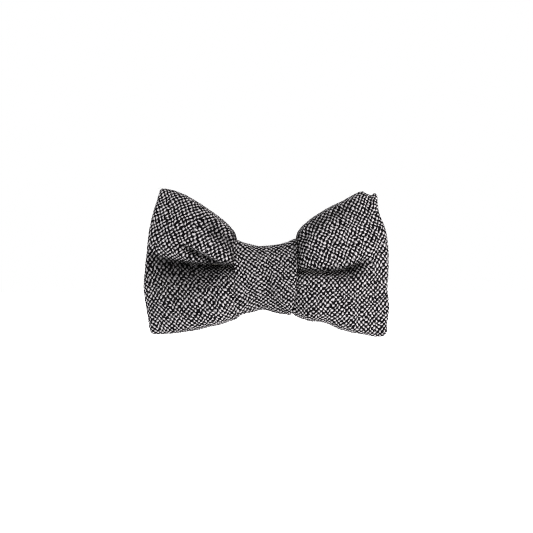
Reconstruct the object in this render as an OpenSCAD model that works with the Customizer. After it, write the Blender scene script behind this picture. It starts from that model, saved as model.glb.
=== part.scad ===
// Clip-on bow tie in salt-and-pepper tweed. Two panels sewn together and turned
// make the bow, a thread gathers its waist, a wide band makes the knot, and a
// sprung steel clip with cross jaws is sewn to the back of the knot.
// X runs along the bow, Z is up, and the front of the bow faces -Y.
// The origin is the middle of the clip's grip, where the collar is held.

/* [Bow] */
// Width of the bow across both wings
bow_w = 119.5; // [108:0.5:132]
// Height of the bow relative to the drawn outline
bow_h = 1; // [0.9:0.02:1.1]
// Thickness of the tweed
tweed_t = 1.4; // [1:0.1:1.6]
// Thickness of the fused interlining
lining_t = 0.5; // [0.3:0.1:0.6]
// How deep the pleat beside the knot is, as a share of the drawn depth
pleat = 1; // [0.4:0.1:1.2]

/* [Knot] */
// Height of the knot at its middle
knot_h = 30.5; // [30:0.5:34]
// Half depth of the knot in front
knot_front = 8.6; // [8.4:0.1:10]
// Half depth of the knot behind
knot_back = 7.8; // [7.6:0.1:8]
// Thickness of the knot's own interlining
knot_lining_t = 0.6; // [0.4:0.1:0.7]

/* [Thread] */
// Thickness of the sewing thread
thread_d = 0.5; // [0.4:0.05:0.55]
// Thickness of the gathering thread
gather_d = 0.6; // [0.4:0.1:0.7]
// Turns of gathering thread round the waist
gather_turns = 4; // [3:1:5]

/* [Clip] */
// Width of the clip's jaws
jaw_w = 42; // [36:1:48]
// Thickness of the clip's sheet steel
steel_t = 0.8; // [0.6:0.1:0.9]
// Radius of the hinge pin
pin_r = 1; // [0.8:0.05:1.1]
// Number of teeth on each jaw
teeth = 14; // [8:2:18]
// Wire of the clip's spring
spring_d = 0.6; // [0.4:0.1:0.7]
// How far the clip is squeezed open
open_deg = 0; // [0:1:30]

/* [Hidden] */
$fn = 48;

// Where the bow's own origin (middle of the knot, panels' meeting plane) lies.
bow_y = -11.4;
bow_z = -8;
sx = bow_w / 119.5;
half = 59.8 * sx;

tweed_c = [0.38, 0.37, 0.38];
lining_c = [0.86, 0.84, 0.78];
thread_c = [0.13, 0.13, 0.14];
steel_c = [0.76, 0.77, 0.78];

// ---- outline of the bow, one wing at a time, from the waist outwards ----
top_right = [[0, 11.4], [8, 12.3], [14, 16], [17, 23.5], [24, 30.5], [32, 35.2], [40, 39.5], [47, 41.8], [53.5, 40.8]];
bot_right = [[0, -11.4], [8, -12.2], [13.5, -15], [18, -19.3], [26, -21], [34, -23.3], [42, -25.6], [50, -27.8], [57.5, -27.6]];
end_right = [[57.5, -27.6], [59.4, -21], [59.7, -12], [59.8, -3], [59.6, 7], [59.3, 16], [58.2, 25], [56.4, 33], [53.5, 40.8]];
top_left = [[0, 11.4], [-8, 12.3], [-13.2, 15.6], [-15.8, 23], [-22, 29.3], [-30, 35], [-38, 40], [-45.5, 43], [-51.5, 43.2]];
bot_left = [[0, -11.4], [-8, -12.2], [-12.5, -15], [-18, -20.2], [-26, -23], [-34, -24.8], [-42, -26], [-49.5, -26.8], [-55.3, -27]];
end_left = [[-55.3, -27], [-57, -19.5], [-58.8, -11], [-59.4, -2], [-58.8, 7], [-57.8, 16], [-56.4, 25], [-54.4, 34.5], [-51.5, 43.2]];

// Smooth curve through evenly numbered points, t from 0 to 1.
function at(p, i) = i < 0 ? 2 * p[0] - p[1] : i > len(p) - 1 ? 2 * p[len(p) - 1] - p[len(p) - 2] : p[i];
function curve(p, t) =
    let (n = len(p) - 1, i = min(floor(t * n), n - 1), f = t * n - i,
         a = at(p, i - 1), b = at(p, i), c = at(p, i + 1), d = at(p, i + 2))
    0.5 * ((2 * b) + (c - a) * f + (2 * a - 5 * b + 4 * c - d) * f * f + (3 * b - a - 3 * c + d) * f * f * f);

// Place on the bow's outline plane: s from -1 (left end) to 1 (right end), v from 0 (bottom) to 1 (top).
function flat(s, v) =
    let (q = abs(s),
         T = s < 0 ? top_left : top_right, B = s < 0 ? bot_left : bot_right, E = s < 0 ? end_left : end_right,
         t = curve(T, q), b = curve(B, q), e = curve(E, v),
         w = [0, -11.4 + 22.8 * v],
         edge = (1 - v) * b + v * t,
         across = (1 - q) * w + q * e,
         corner = (1 - q) * ((1 - v) * B[0] + v * T[0]) + q * ((1 - v) * E[0] + v * E[8]),
         p = edge + across - corner)
    [p[0] * sx, p[1] * bow_h];

// Height of the cloth off the meeting plane.
puff_front = [[0, 4], [8, 4.4], [13, 5.4], [17, 8], [24, 9.8], [32, 9.6], [40, 8.4], [48, 6.6], [55, 4.6], [60, 3.4]];
puff_back = [[0, 4], [8, 4.4], [13, 5], [17, 6], [24, 6.6], [32, 6.6], [40, 6], [48, 5], [55, 3.8], [60, 3]];
pleat_depth = [[0, 0.2], [12, 0.8], [16, 3.6], [24, 3.8], [32, 2.8], [40, 1.4], [48, 0.4], [60, 0]];
seam_gap = 0.3;
edge_y = seam_gap + tweed_t;
function round_off(w) = pow(max(1 - pow(abs(w), 2.6), 0), 0.6);
function crown(s, v, puff, fold) =
    let (p = flat(s, v), ax = min(abs(p[0]) / sx, 60), q = round_off(2 * v - 1), c = p[1] / bow_h - (p[0] < 0 ? 5 : 2.5))
    edge_y + (lookup(ax, puff) - edge_y) * q * pow(max(1 - pow(abs(s), 12), 0), 0.5)
    - fold * pleat * lookup(ax, pleat_depth) * q * exp(-c * c / 22);
function front_y(s, v) = -crown(s, v, puff_front, 1);
function back_y(s, v) = crown(s, v, puff_back, 0.5);

// Closed solid between two grids of points with the same rows and columns.
module between(A, B) {
    n = len(A); m = len(A[0]);
    pts = concat([for (r = A) for (p = r) p], [for (r = B) for (p = r) p]);
    o = n * m;
    function k(i, j) = i * m + j;
    faces = concat(
        [for (i = [0:n-2]) for (j = [0:m-2]) for (f = [[k(i,j), k(i+1,j), k(i+1,j+1)], [k(i,j), k(i+1,j+1), k(i,j+1)]]) f],
        [for (i = [0:n-2]) for (j = [0:m-2]) for (f = [[o+k(i,j), o+k(i+1,j+1), o+k(i+1,j)], [o+k(i,j), o+k(i,j+1), o+k(i+1,j+1)]]) f],
        [for (i = [0:n-2]) for (f = [[k(i,0), o+k(i,0), o+k(i+1,0)], [k(i,0), o+k(i+1,0), k(i+1,0)]]) f],
        [for (i = [0:n-2]) for (f = [[k(i,m-1), o+k(i+1,m-1), o+k(i,m-1)], [k(i,m-1), k(i+1,m-1), o+k(i+1,m-1)]]) f],
        [for (j = [0:m-2]) for (f = [[k(0,j), o+k(0,j+1), o+k(0,j)], [k(0,j), k(0,j+1), o+k(0,j+1)]]) f],
        [for (j = [0:m-2]) for (f = [[k(n-1,j), o+k(n-1,j), o+k(n-1,j+1)], [k(n-1,j), o+k(n-1,j+1), k(n-1,j+1)]]) f]);
    polyhedron(pts, faces, convexity = 8);
}

// A sheet lying on the front (side -1) or back (side 1) of the bow, between two depths
// below the outer face, stopping the given number of grid steps short of the ends and edges.
ns = 44;
nv = 14;
module bow_sheet(side, from, to, skip_s, skip_v) {
    function row(d) = [for (i = [skip_s:ns - skip_s]) let (s = 2 * i / ns - 1) [for (j = [skip_v:nv - skip_v]) let (
        v = (1 - cos(180 * j / nv)) / 2,
        p = flat(s, v),
        y = side < 0 ? front_y(s, v) : back_y(s, v),
        yy = side < 0 ? min(y + d, -seam_gap) : max(y - d, seam_gap))
        [p[0], yy + bow_y, p[1] + bow_z]]];
    if (side < 0) between(row(from), row(to));
    else between(row(to), row(from));
}

module bow_front_panel() { color(tweed_c) bow_sheet(-1, 0, tweed_t, 0, 0); }
module bow_back_panel() { color(tweed_c) bow_sheet(1, 0, tweed_t, 0, 0); }
module front_interlining() { color(lining_c) bow_sheet(-1, tweed_t + 0.1, tweed_t + 0.1 + lining_t, 2, 3); }
module back_interlining() { color(lining_c) bow_sheet(1, tweed_t + 0.1, tweed_t + 0.1 + lining_t, 2, 3); }

// Machine thread that joins the panels all round, just inside their edge.
module perimeter_seam_thread() {
    inset = 0.02;
    a = inset; b = 1 - inset; e = 1 - inset * 0.6;
    n = 26; m = 12;
    path = concat(
        [for (i = [0:n-1]) flat(-e + 2 * e * i / n, a)],
        [for (i = [0:m-1]) flat(e, a + (b - a) * i / m)],
        [for (i = [0:n-1]) flat(e - 2 * e * i / n, b)],
        [for (i = [0:m-1]) flat(-e, b + (a - b) * i / m)]);
    c = len(path); k = 8; r = thread_d / 2;
    pts = [for (i = [0:c-1]) let (p = path[i], d = path[(i + 1) % c] - path[(i + c - 1) % c], u = d / norm(d), w = [u[1], -u[0]])
           for (j = [0:k-1]) [p[0] + r * cos(45 * j) * w[0], bow_y + r * sin(45 * j), p[1] + bow_z + r * cos(45 * j) * w[1]]];
    faces = [for (i = [0:c-1]) for (j = [0:k-1]) let (i2 = (i + 1) % c, j2 = (j + 1) % k)
             for (f = [[i*k+j, i*k+j2, i2*k+j2], [i*k+j, i2*k+j2, i2*k+j]]) f];
    color(thread_c) polyhedron(pts, faces, convexity = 8);
}

// Oval of half depth a and half height b, drawn in the Y-Z plane and as wide as w along X.
module oval(a, b, w) {
    rotate([90, 0, 90]) linear_extrude(w, center = true) {
        square([2 * a, 2 * (b - a)], center = true);
        translate([0, b - a]) circle(a);
        translate([0, a - b]) circle(a);
    }
}

// Thread wound round the pinched waist.
module waist_gather_thread() {
    a = 4.2; b = 12;
    color(thread_c)
        for (i = [0:gather_turns-1])
            translate([(i - (gather_turns - 1) / 2) * gather_d * 1.45, bow_y, bow_z])
                difference() {
                    oval(a + gather_d, b + gather_d, gather_d);
                    oval(a, b, gather_d * 3);
                }
}

// ---- knot: a strip wrapped round the waist, its ends overlapping behind ----
function half_top(x) = knot_h / 2 + 0.25 + 0.019 * x * x;
function half_bottom(x) = knot_h / 2 - 0.25 + 0.017 * x * x;
function sharpen(c) = sign(c) * pow(abs(c), 0.8);
function ring(x, f, off) = [x,
    bow_y + ((cos(f) < 0 ? knot_front + 0.004 * x * x : knot_back) + off) * sharpen(cos(f)),
    bow_z + ((sin(f) > 0 ? half_top(x) : half_bottom(x)) + off) * sharpen(sin(f))];
// The strip's left and right edge at each angle: behind, top, front, bottom, behind.
knot_left = [[-60, -12.5], [0, -13], [90, -13.5], [180, -16.2], [270, -11.5], [360, -13]];
knot_right = [[-60, 12.5], [0, 13], [90, 14.6], [170, 14.5], [270, 12], [360, 13]];
strip_from = -60;
strip_to = 355;
function lift(f, t) = f < 285 ? 0 : t * min((f - 285) / 12, 1);
module strip(outer, t, from, to, step, inset) {
    nf = 44; nx = 6;
    function row(off) = [for (i = [0:nf]) let (f = from + (to - from) * i / nf, l = lookup(f, knot_left) + inset, r = lookup(f, knot_right) - inset)
        [for (j = [0:nx]) ring(l + (r - l) * j / nx, f, off + lift(f, step))]];
    between(row(outer - t), row(outer));
}
module knot_band() { color(tweed_c) strip(0, tweed_t - 0.1, strip_from, strip_to, tweed_t + 0.1, 0); }
module knot_interlining() {
    color(lining_c) strip(-tweed_t - 0.05, knot_lining_t, -50, 280, 0, 1.5);
}

// Whip stitches over the strip's outer end: each lies on the outer layer and drops to the layer below.
module knot_closing_stitches() {
    step = tweed_t + 0.1;
    y = bow_y + knot_back;
    z = bow_z - (knot_h / 2 - 0.25 + step) * sharpen(sin(360 - strip_to));
    t = thread_d;
    color(thread_c)
        for (x = [-11.6:2.9:11.6])
            translate([x, y, z]) rotate([0, 12, 0]) {
                translate([-t / 2, step + 0.12, -1.1]) cube([t, t * 0.8, 1.3 + t]);
                translate([-t / 2, 0.05, 0.2]) cube([t, step + t * 0.8, t]);
            }
}

// ---- clip ----
pin_y = 3.2;
pin_z = -10;
gap = 0.5;
jaw_hi = 4;
jaw_lo = -3.5;
ear_x = 6.2;
module sheet(h = steel_t) { rotate([90, 0, 0]) linear_extrude(h) children(); }
module rounded(x0, z0, x1, z1, r) {
    translate([x0 + r, z0]) square([x1 - x0 - 2 * r, z1 - z0]);
    translate([x0, z0 + r]) square([x1 - x0, z1 - z0 - 2 * r]);
    for (x = [x0 + r, x1 - r]) for (z = [z0 + r, z1 - r]) translate([x, z]) circle(r);
}
// A row of teeth along the jaw's lip, from the sheet's face towards the other jaw.
module tooth_row(from, to, shift) {
    p = (jaw_w - 6) / teeth;
    for (i = [0:teeth-1])
        translate([(i - (teeth - 1) / 2) * p + shift, 0, 2.6])
            linear_extrude(1.2) polygon([[-p * 0.4, from], [p * 0.4, from], [p * 0.08, to], [-p * 0.08, to]]);
}
module clip_base() {
    color(steel_c) difference() {
        union() {
            translate([0, -gap, 0]) sheet() {
                rounded(-jaw_w / 2, jaw_lo, jaw_w / 2, jaw_hi, 1.5);
                rounded(-11, -7.5, 11, jaw_lo + 1.6, 1.2);
                rounded(-7, -22, 7, -6, 1.5);
            }
            tooth_row(-gap - 0.1, -0.06, 0);
            for (m = [0, 1]) mirror([m, 0, 0]) translate([ear_x, 0, 0]) rotate([90, 0, 90]) linear_extrude(steel_t) {
                translate([pin_y, pin_z]) circle(2.4);
                translate([-gap - 0.3, pin_z - 3.4]) square([pin_y + gap + 0.3, 6.4]);
                translate([pin_y, pin_z]) rotate(-25) square([2.4, 1], center = true);
            }
        }
        translate([0, pin_y, pin_z]) rotate([0, 90, 0]) cylinder(r = pin_r + 0.02, h = 30, center = true);
        for (x = [-8.5, 8.5]) translate([x, 0, -5.4]) rotate([90, 0, 0]) cylinder(r = 0.8, h = 6, center = true);
        for (x = [-3, 3]) translate([x, 0, -19]) rotate([90, 0, 0]) cylinder(r = 0.8, h = 6, center = true);
    }
}
// A plate seen from the side as a line from a to b, as wide as w.
module leaf(a, b, w) {
    d = b - a; l = norm(d); u = d / l; k = [-u[1], u[0]] * steel_t / 2;
    rotate([90, 0, 90]) linear_extrude(w, center = true) {
        polygon([a + k, b + k, b - k, a - k]);
        translate(a) circle(steel_t / 2);
        translate(b) circle(steel_t / 2);
    }
}
// A flat plate with round corners at its far end, lying along the line from a to b.
module plate(a, b, w, r) {
    d = b - a; l = norm(d);
    translate([0, a[0], a[1]]) rotate([atan2(d[1], d[0]), 0, 0]) linear_extrude(steel_t, center = true) {
        translate([-w / 2, 0]) square([w, l - r]);
        translate([-w / 2 + r, 0]) square([w - 2 * r, l]);
        for (x = [r - w / 2, w / 2 - r]) translate([x, l - r]) circle(r);
    }
}
module clip_lever() {
    mid = gap + steel_t / 2;
    knee = [6.3, -9.4];
    hip = [mid, jaw_lo];
    neck = [8.3, -15.2];
    tail = [10.6, -22];
    along = tail - neck;
    out = [-along[1], along[0]] / norm(along);
    color(steel_c) translate([0, pin_y, pin_z]) rotate([-open_deg, 0, 0]) translate([0, -pin_y, -pin_z]) difference() {
        union() {
            translate([0, gap + steel_t, 0]) sheet() rounded(-jaw_w / 2, jaw_lo, jaw_w / 2, jaw_hi, 1.5);
            tooth_row(gap + 0.1, 0.06, 0);
            leaf(hip, knee, 12);
            leaf(knee, neck, 12);
            plate(neck - along * 0.02, tail, 15, 2.5);
            for (f = [0.35:0.18:0.75]) translate([0, neck[0], neck[1]] + [0, along[0], along[1]] * f + [0, out[0], out[1]] * steel_t * 0.35)
                rotate([0, 90, 0]) cylinder(r = 0.4, h = 10, center = true);
            for (m = [0, 1]) mirror([m, 0, 0]) translate([5.2, 0, 0]) rotate([90, 0, 90]) linear_extrude(0.8) {
                translate([pin_y, pin_z]) circle(2.3);
                polygon([[pin_y - 0.6, pin_z + 2.2], [4, -7.1], knee, [7.1, -12], [pin_y + 1.2, pin_z - 1.9]]);
            }
        }
        translate([0, pin_y, pin_z]) rotate([0, 90, 0]) cylinder(r = pin_r + 0.06, h = 30, center = true);
    }
}
module clip_hinge_pin() {
    color(steel_c) translate([0, pin_y, pin_z]) rotate([0, 90, 0]) {
        cylinder(r = pin_r, h = 2 * (ear_x + steel_t) + 0.6, center = true);
        for (m = [0, 1]) mirror([0, 0, m]) translate([0, 0, ear_x + steel_t + 0.05]) cylinder(r = pin_r + 0.6, h = 0.5);
    }
}
// Torsion spring round the pin, one leg on the base and one under the lever's tail.
module clip_spring() {
    R = 1.55; r = spring_d / 2; turns = 5.5; pitch = 0.72; k = 8; n = 88;
    // Wire line: base leg, coil, lever leg. Angle 180 is towards the base, 0 towards the lever.
    x0 = -turns * pitch / 2;
    coil = [for (i = [0:n]) let (a = 180 + 360 * turns * i / n) [x0 + turns * pitch * i / n, pin_y + R * cos(a), pin_z + R * sin(a)]];
    // The coil starts at the base side going down and ends at the lever side.
    leg_a = [[x0, -gap + r + 0.05, -17], [x0, -gap + r + 0.15, -15.5], [x0, pin_y - R - 0.1, pin_z + 0.0 - 0.8]];
    leg_b = [[-x0, pin_y + R + 0.12, pin_z - 0.8], [-x0, 7.2, -15.4], [-x0, 7.6, -16.6]];
    path = concat(leg_a, [for (i = [1:n-1]) coil[i]], leg_b);
    c = len(path);
    function unit(v) = v / norm(v);
    dirs = [for (i = [0:c-1]) unit(path[min(i + 1, c - 1)] - path[max(i - 1, 0)])];
    pts = [for (i = [0:c-1]) let (t = dirs[i], ref = [1, 0, 0], u = unit(ref - (ref * t) * t), w = cross(t, u))
           for (j = [0:k-1]) path[i] + r * cos(45 * j) * u + r * sin(45 * j) * w];
    faces = concat(
        [for (i = [0:c-2]) for (j = [0:k-1]) let (j2 = (j + 1) % k) for (f = [[i*k+j, (i+1)*k+j2, i*k+j2], [i*k+j, (i+1)*k+j, (i+1)*k+j2]]) f],
        [[for (j = [0:k-1]) j]], [[for (j = [k-1:-1:0]) (c-1)*k+j]]);
    color(steel_c) polyhedron(pts, faces, convexity = 8);
}
// Thread that holds the clip's base on the knot: a loop through each pair of holes or over the base's edge.
module clip_sewing_stitches() {
    t = thread_d;
    back = -gap - steel_t;
    deep = 2.1;
    color(thread_c) {
        for (m = [0, 1]) mirror([m, 0, 0]) for (z = [-6, -5.3]) {
            translate([8.5 - t / 2, back - deep, z]) cube([t, deep + steel_t + t + 0.05, t]);
            translate([8.5 - t / 2, -gap + 0.05, z]) cube([3.2, t, t]);
            translate([11.15, back - deep, z]) cube([t, deep + steel_t + t + 0.05, t]);
        }
        translate([-3 - t / 2, -gap + 0.05, -19 - t / 2]) cube([6 + t, t, t]);
        for (x = [-3, 3]) translate([x - t / 2, back - deep, -19 - t / 2]) cube([t, deep + steel_t + t, t]);
    }
}

bow_front_panel();
bow_back_panel();
front_interlining();
back_interlining();
perimeter_seam_thread();
waist_gather_thread();
knot_band();
knot_interlining();
knot_closing_stitches();
clip_base();
clip_lever();
clip_hinge_pin();
clip_spring();
clip_sewing_stitches();
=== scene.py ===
import math

import bpy
import numpy as np
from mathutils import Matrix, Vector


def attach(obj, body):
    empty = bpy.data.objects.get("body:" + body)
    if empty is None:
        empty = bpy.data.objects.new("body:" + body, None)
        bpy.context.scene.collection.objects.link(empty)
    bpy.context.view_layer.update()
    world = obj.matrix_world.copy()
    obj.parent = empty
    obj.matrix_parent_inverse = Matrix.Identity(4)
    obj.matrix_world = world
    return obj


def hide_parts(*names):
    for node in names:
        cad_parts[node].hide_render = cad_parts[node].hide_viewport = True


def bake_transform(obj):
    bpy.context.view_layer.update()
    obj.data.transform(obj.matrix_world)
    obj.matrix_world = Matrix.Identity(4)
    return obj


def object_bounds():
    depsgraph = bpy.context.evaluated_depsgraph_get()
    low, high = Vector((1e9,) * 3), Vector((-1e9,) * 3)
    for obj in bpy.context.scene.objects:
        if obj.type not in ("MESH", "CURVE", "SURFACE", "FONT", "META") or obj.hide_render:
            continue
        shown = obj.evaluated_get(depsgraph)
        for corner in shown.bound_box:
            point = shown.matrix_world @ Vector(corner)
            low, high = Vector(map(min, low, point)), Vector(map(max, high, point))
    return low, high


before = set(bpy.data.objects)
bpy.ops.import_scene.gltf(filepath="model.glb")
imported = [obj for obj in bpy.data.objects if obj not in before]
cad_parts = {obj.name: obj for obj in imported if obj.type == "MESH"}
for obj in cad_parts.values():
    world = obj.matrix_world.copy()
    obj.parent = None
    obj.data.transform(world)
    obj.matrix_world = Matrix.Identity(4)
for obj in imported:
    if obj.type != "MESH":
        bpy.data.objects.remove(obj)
cad_low, cad_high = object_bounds()

MM = 0.001
BOW_Y, BOW_Z = -11.4, -8.0      # middle of the bow in the row frame, in mm
PITCH = 1.13                    # one yarn of the tweed, in mm


# ---------------------------------------------------------------- small tools
def spline(pairs):
    px = np.array([p[0] for p in pairs], float)
    py = np.array([p[1] for p in pairs], float)
    if px[0] > px[-1]:
        px, py = px[::-1], py[::-1]
    h = np.diff(px)
    d = np.diff(py) / h
    m = np.empty_like(px)
    m[1:-1] = (d[:-1] * h[1:] + d[1:] * h[:-1]) / (h[:-1] + h[1:])
    m[0], m[-1] = d[0], d[-1]

    def f(x):
        x = np.clip(np.asarray(x, float), px[0], px[-1])
        i = np.clip(np.searchsorted(px, x, side="right") - 1, 0, len(px) - 2)
        t = (x - px[i]) / h[i]
        return ((2 * t**3 - 3 * t**2 + 1) * py[i] + (t**3 - 2 * t**2 + t) * h[i] * m[i]
                + (-2 * t**3 + 3 * t**2) * py[i + 1] + (t**3 - t**2) * h[i] * m[i + 1])
    return f


def smooth(a, b, x):
    t = np.clip((x - a) / (b - a), 0, 1)
    return t * t * (3 - 2 * t)


def _hash(i, j, seed):
    n = (i.astype(np.int64) * 374761393 + j.astype(np.int64) * 668265263 + seed * 2147483647) & 0xFFFFFFFF
    n = ((n ^ (n >> 13)) * 1274126177) & 0xFFFFFFFF
    n = (n ^ (n >> 16)) & 0xFFFFFFFF
    return n / 4294967295.0 * 2 - 1


def noise(x, y, seed):
    """Smooth noise from -1 to 1 with features one unit across."""
    i, j = np.floor(x), np.floor(y)
    u, v = x - i, y - j
    u, v = u * u * (3 - 2 * u), v * v * (3 - 2 * v)
    a, b = _hash(i, j, seed), _hash(i + 1, j, seed)
    c, d = _hash(i, j + 1, seed), _hash(i + 1, j + 1, seed)
    return (a * (1 - u) + b * u) * (1 - v) + (c * (1 - u) + d * u) * v


def normals_of(P):
    """Unit normals of a grid of points; positive where a x b points, rows then columns."""
    a = np.gradient(P, axis=0)
    b = np.gradient(P, axis=1)
    n = np.cross(a, b)
    return n / np.maximum(np.linalg.norm(n, axis=2, keepdims=True), 1e-9)


def grid_mesh(name, P, flip=False, closed_i=False, closed_j=False, uvs=None, smooth_shade=True, fold=None):
    """A mesh from a grid of points in mm, P[i, j]. uvs is {layer: array[i, j, 2]}."""
    ni, nj = P.shape[:2]
    I = np.arange(ni if closed_i else ni - 1)
    J = np.arange(nj if closed_j else nj - 1)
    i, j = np.meshgrid(I, J, indexing="ij")
    i2, j2 = (i + 1) % ni, (j + 1) % nj
    quads = np.stack([i * nj + j, i2 * nj + j, i2 * nj + j2, i * nj + j2], -1).reshape(-1, 4)
    if flip:
        quads = quads[:, ::-1]
    me = bpy.data.meshes.new(name)
    me.vertices.add(ni * nj)
    me.vertices.foreach_set("co", (P.reshape(-1, 3) * MM).astype(np.float32).ravel())
    n = len(quads)
    me.loops.add(4 * n)
    me.loops.foreach_set("vertex_index", quads.astype(np.int32).ravel())
    me.polygons.add(n)
    me.polygons.foreach_set("loop_start", np.arange(0, 4 * n, 4, dtype=np.int32))
    me.polygons.foreach_set("loop_total", np.full(n, 4, np.int32))
    me.polygons.foreach_set("use_smooth", np.full(n, smooth_shade, bool))
    me.update(calc_edges=True)
    for layer, uv in (uvs or {}).items():
        u = me.uv_layers.new(name=layer)
        flat = uv.reshape(-1, 2)[quads.ravel()]
        u.data.foreach_set("uv", flat.astype(np.float32).ravel())
    # painted shade, kept as a point attribute that darkens the tweed's colour
    if fold is not None:
        me.attributes.new("fold", "FLOAT", "POINT").data.foreach_set("value", fold.astype(np.float32).ravel())
    me.validate()
    o = bpy.data.objects.new(name, me)
    bpy.context.scene.collection.objects.link(o)
    return o


# ------------------------------------------------------------ outline of the bow
TOP = {
    1: spline([(0, 11.4), (8, 12.3), (12, 14.2), (14, 17), (15.1, 21.9), (16.5, 24.3), (19.4, 27.2), (22.3, 29.6), (25.3, 31.6),
               (31.1, 35), (36.9, 37.8), (42.8, 41), (45.6, 42.2), (46.8, 42.4), (48.6, 41.5), (50.4, 40.7), (51.4, 40.7), (52.4, 41.5), (53.3, 41.4), (54.0, 40.3)]),
    -1: spline([(0, 11.4), (8, 12.3), (12, 14), (13.6, 17), (14.6, 21), (17.2, 25.1), (20.4, 28.3), (25.4, 32.1), (30.6, 35.7),
                (35.7, 38.9), (40.8, 41.5), (45.9, 43.2), (48.8, 43.8), (50.6, 43.8), (51.5, 43.2)]),
}
BOTTOM = {
    1: spline([(0, -11.4), (8, -12.6), (11, -15.4), (12.6, -16.6), (15.1, -18.3), (19, -19.7), (22, -20.6), (24.8, -20.6), (29.8, -21.7), (35, -24.1),
               (40.5, -25.7), (45.7, -26.6), (50.8, -27.6), (54.9, -27.9), (56.8, -27.7), (58, -27.0)]),
    -1: spline([(0, -11.4), (8, -12.6), (11, -15.8), (13, -18.2), (15, -19.6), (17.8, -20.6), (22.8, -22.3), (28, -23.3), (33, -24.7),
                (38.2, -25.5), (43.3, -26.2), (48.4, -26.6), (52, -26.7), (55, -26.6), (55.9, -26.0)]),
}
END = {
    1: spline([(-27.0, 58), (-25.3, 58.8), (-22.5, 58.6), (-18.9, 59.3), (-11.5, 59.7), (-5.0, 58.9), (1.5, 59.3), (11.7, 59.5), (20.9, 58.7), (26, 57.4), (31, 55.2), (35.9, 54.3), (40.3, 54.0)]),
    -1: spline([(-26.0, 55.9), (-23.8, 56.5), (-18.9, 57.3), (-13.6, 58.2), (-8.7, 58.9), (-3.4, 59.3), (1.5, 59), (5.8, 58.6), (11.7, 58),
                (20.9, 57.1), (27.2, 56), (33.8, 54.3), (39.8, 52.4), (43.2, 51.5)]),
}
X_TOP = {1: 54.0, -1: 51.5}
X_BOT = {1: 58.0, -1: 55.9}
Z_LOW = {1: -27.0, -1: -26.0}
Z_HIGH = {1: 40.3, -1: 43.2}


def flat(side, q, v):
    """Where a point lies on the bow's outline plane: q from the waist, 0, to the end, 1, and v from the bottom, 0, to the top, 1."""
    q, v = np.broadcast_arrays(np.asarray(q, float), np.asarray(v, float))
    T = np.stack([q * X_TOP[side], TOP[side](q * X_TOP[side])], -1)
    B = np.stack([q * X_BOT[side], BOTTOM[side](q * X_BOT[side])], -1)
    ze = Z_LOW[side] + v * (Z_HIGH[side] - Z_LOW[side])
    E = np.stack([END[side](ze), ze], -1)
    W = np.stack([0 * v, -11.4 + 22.8 * v], -1)
    q_, v_ = q[..., None], v[..., None]
    T0, B0 = np.array([0, 11.4]), np.array([0, -11.4])
    T1 = np.array([X_TOP[side], Z_HIGH[side]])
    B1 = np.array([X_BOT[side], Z_LOW[side]])
    p = (1 - v_) * B + v_ * T + (1 - q_) * W + q_ * E - (1 - q_) * ((1 - v_) * B0 + v_ * T0) - q_ * ((1 - v_) * B1 + v_ * T1)
    height = T[..., 1] - B[..., 1]
    return side * p[..., 0], p[..., 1], height


# ---------------------------------------------------------------- folds of the cloth
PUFF = {  # height of the front off the seam, by distance from the middle
    ("front", -1): spline([(0, 4), (8, 4.4), (12, 6.4), (16, 9.6), (20, 11.2), (26, 11.5), (33, 11.0), (41, 9.6), (49, 7.6), (55, 5.6), (60, 3.8)]),
    ("front", 1): spline([(0, 4), (8, 4.4), (12, 5.6), (15, 7.6), (19, 9.9), (25, 10.8), (33, 10.2), (41, 8.7), (49, 6.5), (55, 4.6), (60, 3.2)]),
    ("back", -1): spline([(0, 4), (8, 4.4), (13, 5.2), (17, 6.2), (24, 6.8), (32, 6.6), (40, 5.9), (48, 4.9), (55, 3.6), (60, 2.8)]),
    ("back", 1): spline([(0, 4), (8, 4.4), (13, 5.2), (17, 6.2), (24, 6.8), (32, 6.6), (40, 5.9), (48, 4.9), (55, 3.6), (60, 2.8)]),
}
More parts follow.
